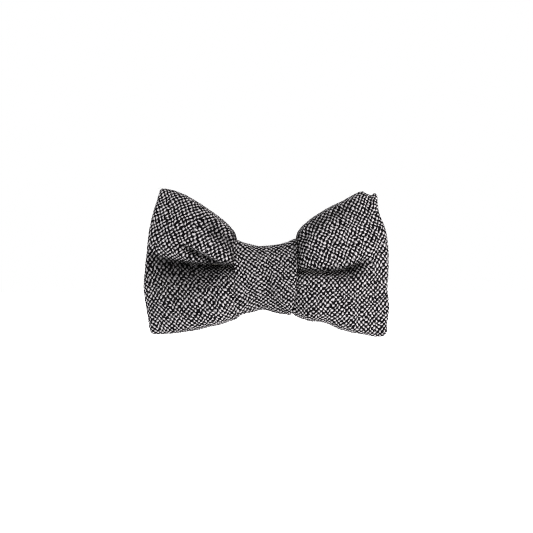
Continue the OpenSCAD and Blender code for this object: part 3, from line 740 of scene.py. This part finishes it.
def tweed():
    m = Tree("tweed")
    uv = m.node("ShaderNodeUVMap", uv_map="Weave")
    # the yarns are spun unevenly, so their edges wander a little
    bend = m.node("ShaderNodeTexNoise", noise_dimensions="2D")
    m.t.links.new(uv.outputs[0], bend.inputs["Vector"])
    bend.inputs["Scale"].default_value = 0.9
    bend.inputs["Detail"].default_value = 2.0
    bend.inputs["Roughness"].default_value = 0.6
    off = m.node("ShaderNodeVectorMath", operation="MULTIPLY_ADD")
    m.t.links.new(bend.outputs["Color"], off.inputs[0])
    off.inputs[1].default_value = (0.7, 0.7, 0.0)
    off.inputs[2].default_value = (-0.35, -0.35, 0.0)
    add = m.node("ShaderNodeVectorMath", operation="ADD")
    m.t.links.new(uv.outputs[0], add.inputs[0])
    m.t.links.new(off.outputs[0], add.inputs[1])
    sep = m.node("ShaderNodeSeparateXYZ")
    m.t.links.new(add.outputs[0], sep.inputs[0])
    U, V = sep.outputs[0], sep.outputs[1]
    vec = add.outputs[0]
    iu, iv = m.math("FLOOR", U), m.math("FLOOR", V)
    fu = m.math("SUBTRACT", m.math("FRACT", U), 0.5)
    fv = m.math("SUBTRACT", m.math("FRACT", V), 0.5)
    odd = m.math("GREATER_THAN", m.math("MODULO", m.math("ADD", iu, iv), 2.0), 0.5)   # 0 the black warp is on top, 1 the white weft
    a = m.mix(odd, fu, fv)                                   # across the yarn on top
    b = m.mix(odd, fv, fu)                                   # along it
    cell = m.white(iu, iv, 0.0)
    yarn = m.mix(odd, m.white(iu, 3.0, 1.0), m.white(5.0, iv, 2.0))
    drift = m.noise(vec, 0.30, 2.0, 0.5, "2D")
    slub = m.noise(vec, 1.15, 1.5, 0.6, "2D")
    fibre = m.noise(vec, 6.0, 3.0, 0.65, "2D")
    fine = m.noise(vec, 21.0, 2.0, 0.6, "2D")
    # the crown of each float, 1 in its middle and 0 where the next yarn crosses; below 0 on the black ones
    crown = m.math("MULTIPLY", m.math("COSINE", m.math("MULTIPLY", fu, math.pi)), m.math("COSINE", m.math("MULTIPLY", fv, math.pi)))
    sign = m.math("SUBTRACT", m.math("MULTIPLY", odd, 2.0), 1.0)
    w = m.math("MULTIPLY", crown, sign)
    # neighbouring floats run together along one diagonal or the other, as the yarns' twist leans
    corner = m.math("MULTIPLY", m.math("COSINE", m.math("MULTIPLY", U, math.pi)), m.math("COSINE", m.math("MULTIPLY", V, math.pi)))
    lean = m.math("ADD", -0.08, m.math("MULTIPLY", m.math("SUBTRACT", m.noise(vec, 0.42, 1.0, 0.5, "2D"), 0.5), -1.5))
    w = m.math("ADD", w, m.math("MULTIPLY", corner, lean))
    # thick and thin yarns, slubs and single floats: white spreads over its neighbours here and shrinks there
    w = m.math("ADD", w, m.math("MULTIPLY", m.math("SUBTRACT", slub, 0.5), 2.3))
    w = m.math("ADD", w, m.math("MULTIPLY", m.math("SUBTRACT", fibre, 0.5), 0.45))
    w = m.math("ADD", w, m.math("MULTIPLY", m.math("SUBTRACT", drift, 0.5), 0.45))
    w = m.math("ADD", w, m.math("MULTIPLY", m.math("SUBTRACT", cell, 0.5), 0.16))
    light = m.step(w, 0.06, 0.30)
    # painted shade: this is 0 at a float's edge and 1 on its crown, and dims the white yarn towards its edges, standing
    # in for the shade between the yarns
    body = m.step(crown, 0.02, 0.62)
    # twist of the yarn; its ridges and grooves also lighten and darken the white yarn's colour a little, a painted
    # shade of the relief the bump gives
    tw = m.math("SINE", m.math("MULTIPLY", m.math("ADD", m.math("MULTIPLY", b, 2.6), m.math("MULTIPLY", a, 2.0)), 6.2832))
    tone = m.math("ADD", m.math("MULTIPLY", m.math("SUBTRACT", yarn, 0.5), 0.16), m.math("MULTIPLY", m.math("SUBTRACT", cell, 0.5), 0.20))
    tone = m.math("ADD", tone, m.math("MULTIPLY", m.math("SUBTRACT", drift, 0.5), 0.30))
    tone = m.math("ADD", tone, m.math("MULTIPLY", m.math("SUBTRACT", fine, 0.5), 0.35))
    tone = m.math("ADD", tone, m.math("MULTIPLY", tw, 0.05))
    white_v = m.math("ADD", 0.83, m.math("MULTIPLY", tone, 0.55), clamp=True)
    # the white floats are darkened towards their edges: painted shade
    white_v = m.math("MULTIPLY", white_v, m.math("ADD", 0.30, m.math("MULTIPLY", body, 0.70)))
    black_v = m.math("ADD", 0.004, m.math("MULTIPLY", m.step(fibre, 0.60, 0.85), 0.030), clamp=True)
    white_c = m.node("ShaderNodeCombineXYZ")
    m.put(white_c.inputs[0], white_v); m.put(white_c.inputs[1], m.math("MULTIPLY", white_v, 0.955)); m.put(white_c.inputs[2], m.math("MULTIPLY", white_v, 0.975))
    black_c = m.node("ShaderNodeCombineXYZ")
    m.put(black_c.inputs[0], black_v); m.put(black_c.inputs[1], m.math("MULTIPLY", black_v, 0.85)); m.put(black_c.inputs[2], m.math("MULTIPLY", black_v, 1.15))
    colour = m.mix_colour(light, black_c.outputs[0], white_c.outputs[0])
    # painted shade: the colour is darkened deep in the folds, along drag lines and at the knot's edges, by the point
    # attribute the cloth meshes carry
    fold = m.node("ShaderNodeAttribute", attribute_name="fold").outputs["Fac"]
    after_painted_shade = m.math("SUBTRACT", 1.0, m.math("MULTIPLY", fold, 0.87))
    keep = m.node("ShaderNodeCombineXYZ")
    for k in range(3):
        m.put(keep.inputs[k], after_painted_shade)
    colour = m.mix_colour(1.0, colour, keep.outputs[0], "MULTIPLY")
    m.put(m.bsdf.inputs["Base Color"], colour)
    m.put(m.bsdf.inputs["Roughness"], m.math("ADD", 0.82, m.math("MULTIPLY", fibre, 0.16), clamp=True))
    h = m.math("ADD", m.math("POWER", crown, 0.6), m.math("MULTIPLY", tw, 0.10))
    h = m.math("ADD", h, m.math("MULTIPLY", m.math("SUBTRACT", fine, 0.5), 0.25))
    m.put(m.bsdf.inputs["Normal"], m.bump(h, 0.00018, 1.0))
    m.bsdf.inputs["Specular IOR Level"].default_value = 0.08
    m.bsdf.inputs["Sheen Weight"].default_value = 0.012
    m.bsdf.inputs["Sheen Roughness"].default_value = 0.5
    return m.mat


def lining():
    m = Tree("interlining")
    uv = m.node("ShaderNodeTexCoord")
    sep = m.node("ShaderNodeSeparateXYZ")
    m.t.links.new(uv.outputs["Object"], sep.inputs[0])
    wx = m.math("SINE", m.math("MULTIPLY", sep.outputs[0], 2 * math.pi / 0.0005))
    wz = m.math("SINE", m.math("MULTIPLY", sep.outputs[2], 2 * math.pi / 0.0005))
    wv = m.math("MULTIPLY", wx, wz)
    n = m.noise(uv.outputs["Object"], 900.0, 3.0, 0.6)
    big = m.noise(uv.outputs["Object"], 120.0, 2.0, 0.5)
    f = m.math("ADD", m.math("MULTIPLY", wv, 0.25), m.math("ADD", m.math("MULTIPLY", n, 0.6), m.math("MULTIPLY", big, 0.3)), clamp=True)
    m.put(m.bsdf.inputs["Base Color"], m.mix_colour(f, (0.52, 0.49, 0.42, 1), (0.80, 0.77, 0.69, 1)))
    m.put(m.bsdf.inputs["Roughness"], m.math("ADD", 0.82, m.math("MULTIPLY", n, 0.14)))
    m.put(m.bsdf.inputs["Normal"], m.bump(m.math("ADD", wv, n), 0.00005, 0.8))
    m.bsdf.inputs["Specular IOR Level"].default_value = 0.2
    return m.mat


def thread():
    m = Tree("sewing_thread")
    uv = m.node("ShaderNodeTexCoord")
    n = m.noise(uv.outputs["Object"], 2600.0, 3.0, 0.6)
    big = m.noise(uv.outputs["Object"], 500.0, 2.0, 0.5)
    f = m.math("MULTIPLY", n, big)
    m.put(m.bsdf.inputs["Base Color"], m.mix_colour(m.step(f, 0.15, 0.45), (0.008, 0.008, 0.010, 1), (0.060, 0.058, 0.064, 1)))
    m.put(m.bsdf.inputs["Roughness"], m.math("ADD", 0.45, m.math("MULTIPLY", n, 0.3)))
    m.put(m.bsdf.inputs["Normal"], m.bump(n, 0.00003, 0.8))
    m.bsdf.inputs["Sheen Weight"].default_value = 0.25
    return m.mat


def wool():
    m = Tree("wool_fibre")
    obj = m.node("ShaderNodeTexCoord").outputs["Object"]
    n = m.noise(obj, 420.0, 1.0, 0.5)
    fine = m.noise(obj, 3000.0, 2.0, 0.6)
    c = m.mix_colour(m.step(n, 0.47, 0.53), (0.012, 0.010, 0.013, 1), (0.72, 0.69, 0.70, 1))
    m.put(m.bsdf.inputs["Base Color"], m.mix_colour(m.math("MULTIPLY", fine, 0.5), c, (0.20, 0.19, 0.20, 1)))
    m.put(m.bsdf.inputs["Roughness"], m.math("ADD", 0.55, m.math("MULTIPLY", fine, 0.3)))
    m.put(m.bsdf.inputs["Normal"], m.bump(fine, 0.000005, 0.5))
    m.bsdf.inputs["Specular IOR Level"].default_value = 0.2
    return m.mat


def nickel(name, tint, rough, wear=1.0):
    m = Tree(name)
    uv = m.node("ShaderNodeTexCoord")
    obj = uv.outputs["Object"]
    mp = m.node("ShaderNodeMapping")
    mp.inputs["Scale"].default_value = (60, 900, 900)
    m.t.links.new(obj, mp.inputs[0])
    brush = m.noise(mp.outputs[0], 2.5, 4.0, 0.6)
    cloud = m.noise(obj, 140.0, 3.0, 0.55)
    speck = m.noise(obj, 900.0, 3.0, 0.7)
    geo = m.node("ShaderNodeNewGeometry")
    edge = m.step(geo.outputs["Pointiness"], 0.52, 0.60)
    base = m.mix_colour(cloud, tuple(c * 0.88 for c in tint) + (1,), tint + (1,))
    base = m.mix_colour(m.math("MULTIPLY", m.step(speck, 0.62, 0.75), 0.35 * wear), base, tuple(c * 0.6 for c in tint) + (1,))
    base = m.mix_colour(m.math("MULTIPLY", edge, 0.6), base, (0.80, 0.79, 0.77, 1))
    m.put(m.bsdf.inputs["Base Color"], base)
    r = m.math("ADD", rough, m.math("MULTIPLY", m.math("SUBTRACT", brush, 0.5), 0.28))
    r = m.math("ADD", r, m.math("MULTIPLY", m.math("SUBTRACT", cloud, 0.5), 0.18), clamp=True)
    m.put(m.bsdf.inputs["Roughness"], r)
    m.put(m.bsdf.inputs["Normal"], m.bump(m.math("ADD", brush, m.math("MULTIPLY", speck, 0.4)), 0.00002, 0.5))
    m.bsdf.inputs["Metallic"].default_value = 1.0
    return m.mat


TWEED, LINING, THREAD, WOOL = tweed(), lining(), thread(), wool()
NICKEL = nickel("nickel_plate", (0.60, 0.585, 0.555), 0.28)
SPRING = nickel("spring_wire", (0.52, 0.52, 0.53), 0.26, 0.4)


def finish_piece(o, material, slot_name, *nodes, body="bow"):
    o.data.materials.clear()
    o.data.materials.append(material)
    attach(o, body)
    if nodes:
        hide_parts(*nodes)
    return o


# ---------------------------------------------------------------- the cloth
front = finish_piece(make_panel("front"), TWEED, "tweed", "bow_front_panel")
back = finish_piece(make_panel("back"), TWEED, "tweed", "bow_back_panel")
knot = finish_piece(make_knot(), TWEED, "tweed", "knot_band")


def lining_piece(face):
    s = np.linspace(-0.95, 0.95, 161)
    v = np.linspace(0.06, 0.94, 81)
    P, _ = panel(face, s[:, None], v[None, :], depth=1.9)
    o = grid_mesh("%s_interlining_cloth" % face, P + np.array([0, BOW_Y, BOW_Z]), flip=(face == "back"))
    return finish_piece(o, LINING, "interlining", "%s_interlining" % face)


lining_front, lining_back = lining_piece("front"), lining_piece("back")

f = np.linspace(-50, 280, 140)
xs = np.linspace(0, 1, 24)
L, R = K_LEFT(f) + 1.8, K_RIGHT(f) - 1.8
X = L[:, None] + (R - L)[:, None] * xs[None, :]
A = knot_ring(X, np.repeat(f[:, None], 24, 1), -1.7)
lining_knot = finish_piece(grid_mesh("knot_interlining_cloth", A, flip=True), LINING, "interlining", "knot_interlining")

# ---------------------------------------------------------------- thread
rings = []
path = []
inset = 0.02
for side, order in ((1, 1), (-1, -1)):
    qs = np.linspace(0.0, 0.985, 170)
    vs = np.linspace(inset, 1 - inset, 90)
    lo = np.stack(flat(side, qs, np.full_like(qs, inset))[:2], -1)
    en = np.stack(flat(side, np.full_like(vs, 0.985), vs)[:2], -1)
    hi = np.stack(flat(side, qs[::-1], np.full_like(qs, 1 - inset))[:2], -1)
    loop = np.concatenate([lo, en[1:], hi[1:]])
    path.append(loop if side > 0 else loop[::-1])
loop = np.concatenate([path[0], path[1][1:-1]])
seg = np.linalg.norm(np.diff(np.concatenate([loop, loop[:1]]), axis=0), axis=1)
Lc = np.concatenate([[0], np.cumsum(seg)])
count = int(Lc[-1] / 0.25)
at = np.linspace(0, Lc[-1], count, endpoint=False)
closed = np.concatenate([loop, loop[:1]])
px, pz = np.interp(at, Lc, closed[:, 0]), np.interp(at, Lc, closed[:, 1])
lock = 0.12 * np.cos(at / 2.4 * 2 * math.pi)
pts = np.stack([px, BOW_Y + lock, BOW_Z + pz], -1)
ring = tube(pts, 0.16, 6, closed=True)
seam = finish_piece(grid_mesh("perimeter_seam_stitching", ring, closed_i=True, closed_j=True, flip=True), THREAD, "thread", "perimeter_seam_thread")


def stadium(a, b, n):
    """Points round an oval of half depth a and half height b."""
    t = np.linspace(0, 2 * math.pi, n, endpoint=False)
    y = a * np.cos(t)
    z = a * np.sin(t) + np.sign(np.sin(t)) * (b - a) * smooth(0, 0.35, np.abs(np.sin(t)))
    return y, z


wind = []
turns, per = 5, 90
t = np.arange(turns * per + 1) / per
yy, zz = stadium(4.5, 12.3, per)
k = np.arange(turns * per + 1) % per
wind = np.stack([(t - turns / 2) * 0.72, BOW_Y + yy[k], BOW_Z + zz[k]], -1)
gather = finish_piece(tubes_object("waist_gather_winding", [tube(wind, 0.28, 8, ply=0.12, turn=1.3)]), THREAD, "thread", "waist_gather_thread")

# whip stitches over the strip's end, on the back of the knot
rings = []
rng = np.random.default_rng(5)
z_end = BOW_Z - (KNOT_H / 2 - 0.25 + 1.5) * float(sharpen(np.sin(np.radians(5))))
for x in np.arange(-11.6, 11.7, 2.9):
    j = rng.normal(0, 0.18, 4)
    y0 = BOW_Y + KNOT_BACK
    top = y0 + 1.5
    pts = [(x - 0.5 + j[0], top - 0.7, z_end - 1.3 + j[1]), (x - 0.45 + j[0], top + 0.18, z_end - 1.15 + j[1]), (x - 0.05, top + 0.22, z_end - 0.2),
           (x + 0.15, top - 0.1, z_end + 0.75), (x + 0.4 + j[2], y0 + 0.35, z_end + 1.15 + j[3]), (x + 0.45 + j[2], y0 - 0.6, z_end + 1.3 + j[3])]
    rings.append(tube(rounded_path(pts, 0.1, 0.3), 0.21, 8, ply=0.12, turn=0.9))
closing = finish_piece(tubes_object("knot_whip_stitches", rings), THREAD, "thread", "knot_closing_stitches")

# loops that hold the clip
rings = []
gap, st = 0.5, 0.8
for m in (-1, 1):
    for k, z in enumerate((-6.05, -5.65, -5.2)):
        pts = [(m * (8.4 + 0.1 * k), -4.6, z + 0.1), (m * (8.4 + 0.1 * k), -gap - 0.1, z), (m * (8.5 + 0.1 * k), -gap + 0.24, z), (m * 9.9, -gap + 0.27, z + 0.05),
               (m * 11.2, -gap + 0.22, z + 0.1), (m * (11.38 + 0.1 * k), -gap - 0.4, z + 0.1), (m * (11.5 + 0.15 * k), -4.4, z + 0.25)]
        rings.append(tube(rounded_path(pts, 0.1, 0.35), 0.2, 8, ply=0.12, turn=0.9))
for k, dz in enumerate((-0.4, 0.0, 0.42)):
    pts = [(-3.0, -4.6, -19 + dz), (-3.0, -gap - 0.1, -19 + dz * 0.8), (-2.9, -gap + 0.24, -19 + dz * 0.8), (0, -gap + 0.26 + 0.05 * (k == 1), -19 + dz * 0.5),
           (2.9, -gap + 0.24, -19 + dz * 0.8), (3.0, -gap - 0.1, -19 + dz * 0.8), (3.0, -4.6, -19 + dz)]
    rings.append(tube(rounded_path(pts, 0.1, 0.35), 0.2, 8, ply=0.12, turn=0.9))
sewing = finish_piece(tubes_object("clip_sewing_loops", rings), THREAD, "thread", "clip_sewing_stitches")

# ---------------------------------------------------------------- loose fibres of the wool
def fibres(name, beds, seed):
    rng = np.random.default_rng(seed)
    verts, faces, at = [], [], 0
    for (P, n), count in beds:
        i, j = rng.integers(2, P.shape[0] - 2, count), rng.integers(2, P.shape[1] - 2, count)
        p, up = P[i, j], n[i, j]
        d = np.cross(up, rng.normal(size=(count, 3)))
        d /= np.maximum(np.linalg.norm(d, axis=1, keepdims=True), 1e-6)
        side = np.cross(up, d)
        length = rng.uniform(0.8, 2.6, count)[:, None]
        rise = rng.uniform(0.15, 0.75, count)[:, None]
        bow = rng.normal(0, 0.45, count)[:, None]
        radius = rng.uniform(0.018, 0.034, count)[:, None]
        seg = 6
        rings = []
        for k in range(seg + 1):
            u = k / seg
            c = p + d * length * u + up * (rise * length * u * (1 - 0.45 * u) - 0.05) + side * bow * length * u * u
            for a in range(3):
                w = 2 * math.pi * a / 3
                rings.append(c + (up * math.cos(w) + side * math.sin(w)) * radius * (1 - 0.6 * u))
        R_ = np.stack(rings, 1)                                  # fibre, ring * 3, xyz
        verts.append(R_.reshape(-1, 3))
        m = (seg + 1) * 3
        base = at + np.arange(count)[:, None] * m
        for k in range(seg):
            for a in range(3):
                b = (a + 1) % 3
                faces.append(np.stack([base[:, 0] + k * 3 + a, base[:, 0] + k * 3 + b, base[:, 0] + k * 3 + 3 + b, base[:, 0] + k * 3 + 3 + a], 1))
        at += count * m
    me = bpy.data.meshes.new(name)
    me.from_pydata((np.concatenate(verts) * MM).tolist(), [], np.concatenate(faces).tolist())
    me.polygons.foreach_set("use_smooth", np.ones(len(me.polygons), bool))
    me.update()
    o = bpy.data.objects.new(name, me)
    bpy.context.scene.collection.objects.link(o)
    return o


thin = 1.0
loose = finish_piece(fibres("tweed_loose_fibres", [(BEDS[0], int(1900 * thin)), (BEDS[1], int(1400 * thin)), (BEDS[2], int(700 * thin))], 8), WOOL, "tweed")

# ---------------------------------------------------------------- the clip
for node in ("clip_base", "clip_lever", "clip_hinge_pin"):
    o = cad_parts[node]
    o.data.materials.clear()
    o.data.materials.append(NICKEL)

# the spring's wire: one leg lies on the base, the other reaches up to the lever, and the coil sits between them
R_, turns, pitch, wire = 1.55, 5.5, 0.72, 0.3
x0 = -turns * pitch / 2
pin_y, pin_z = 3.2, -10.0
a = np.linspace(0, 1, 260)[1:-1]
turn = np.pi + 2 * np.pi * turns * a
coil = [(x0 + turns * pitch * k, pin_y + R_ * math.cos(b), pin_z + R_ * math.sin(b)) for k, b in zip(a, turn)]
leg_a = rounded_path([(x0, -0.5 + wire + 0.05, -17), (x0, -0.5 + wire + 0.15, -15.5), (x0, pin_y - R_ - 0.1, pin_z - 0.8), coil[0]], 0.15, 0.6)
leg_b = rounded_path([coil[-1], (-x0, pin_y + R_ + 0.12, pin_z - 0.8), (-x0, 7.2, -15.4), (-x0, 7.6, -16.6)], 0.15, 0.6)
line = np.concatenate([leg_a[:-1], np.array(coil), leg_b[1:]])
spring = tubes_object("clip_spring_wire", [tube(line, wire, 12)])
spring.data.materials.append(SPRING)
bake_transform(spring)
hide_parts("clip_spring")

# ---------------------------------------------------------------- camera, light and floor
scene = bpy.context.scene
cam_data = bpy.data.cameras.new("camera")
cam = bpy.data.objects.new("camera", cam_data)
scene.collection.objects.link(cam)
cam_data.sensor_width = 36
cam_data.lens = 85
view_w = 533 * 0.4858 * MM
distance = view_w * 85 / 36
cam.location = (0.24 * MM, BOW_Y * MM - distance, (BOW_Z + 6.05) * MM)
cam.rotation_euler = (math.radians(90), 0, 0)
cam_data.clip_start, cam_data.clip_end = 0.05, 20
scene.camera = cam

world = bpy.data.worlds.new("white_room")
scene.world = world
world.use_nodes = True
wt = world.node_tree
wt.nodes.clear()
wo = wt.nodes.new("ShaderNodeOutputWorld")
bg = wt.nodes.new("ShaderNodeBackground")
bg.inputs["Color"].default_value = (1, 1, 1, 1)
bg.inputs["Strength"].default_value = 0.25
cb = wt.nodes.new("ShaderNodeBackground")
cb.inputs["Color"].default_value = (1, 1, 1, 1)
cb.inputs["Strength"].default_value = 1.0
lp = wt.nodes.new("ShaderNodeLightPath")
mx = wt.nodes.new("ShaderNodeMixShader")
wt.links.new(lp.outputs["Is Camera Ray"], mx.inputs[0])
wt.links.new(bg.outputs[0], mx.inputs[1])
wt.links.new(cb.outputs[0], mx.inputs[2])
wt.links.new(mx.outputs[0], wo.inputs["Surface"])


def softbox(name, at, size, power, aim=(0, BOW_Y * MM, BOW_Z * MM)):
    data = bpy.data.lights.new(name, "AREA")
    data.shape = "RECTANGLE"
    data.size, data.size_y = size
    data.energy = power
    o = bpy.data.objects.new(name, data)
    scene.collection.objects.link(o)
    from mathutils import Vector
    o.location = at
    d = Vector(aim) - Vector(at)
    o.rotation_euler = d.to_track_quat("-Z", "Y").to_euler()
    return o


softbox("key", (0.26, -0.57, -0.53), (0.34, 0.34), 3.0)
softbox("left", (-0.75, -0.35, 0.15), (0.5, 0.5), 1.6).data.color = (0.93, 0.97, 1.0)
softbox("right", (0.75, -0.35, 0.1), (0.5, 0.5), 3.4).data.color = (1.0, 0.972, 0.968)
softbox("rear", (0.35, 0.85, -0.05), (1.6, 1.3), 6.5)
softbox("top", (-0.2, 0.15, 1.0), (0.8, 0.8), 2.6)

floor_z = cad_low[2] - 0.004
me = bpy.data.meshes.new("floor")
R_ = 1.2
me.from_pydata([(-R_, -R_, floor_z), (R_, -R_, floor_z), (R_, R_, floor_z), (-R_, R_, floor_z)], [], [(0, 1, 2, 3)])
floor = bpy.data.objects.new("floor", me)
scene.collection.objects.link(floor)
fm = Tree("floor_paper")
fm.bsdf.inputs["Base Color"].default_value = (0.92, 0.92, 0.92, 1)
fm.bsdf.inputs["Roughness"].default_value = 0.9
fm.bsdf.inputs["Emission Color"].default_value = (1, 1, 1, 1)
fm.bsdf.inputs["Emission Strength"].default_value = 0.4
floor.data.materials.append(fm.mat)
# it is a lit white table: soft light comes up through it, and it shows plain white
lamp = fm.node("ShaderNodeLightPath")
fm.put(fm.bsdf.inputs["Emission Strength"], fm.math("ADD", fm.math("MULTIPLY", lamp.outputs["Is Camera Ray"], 1.0), 0.12))
floor.visible_shadow = False

scene.view_settings.view_transform = "Standard"
scene.cycles.filter_width = 1.0
scene.view_settings.look = "None"
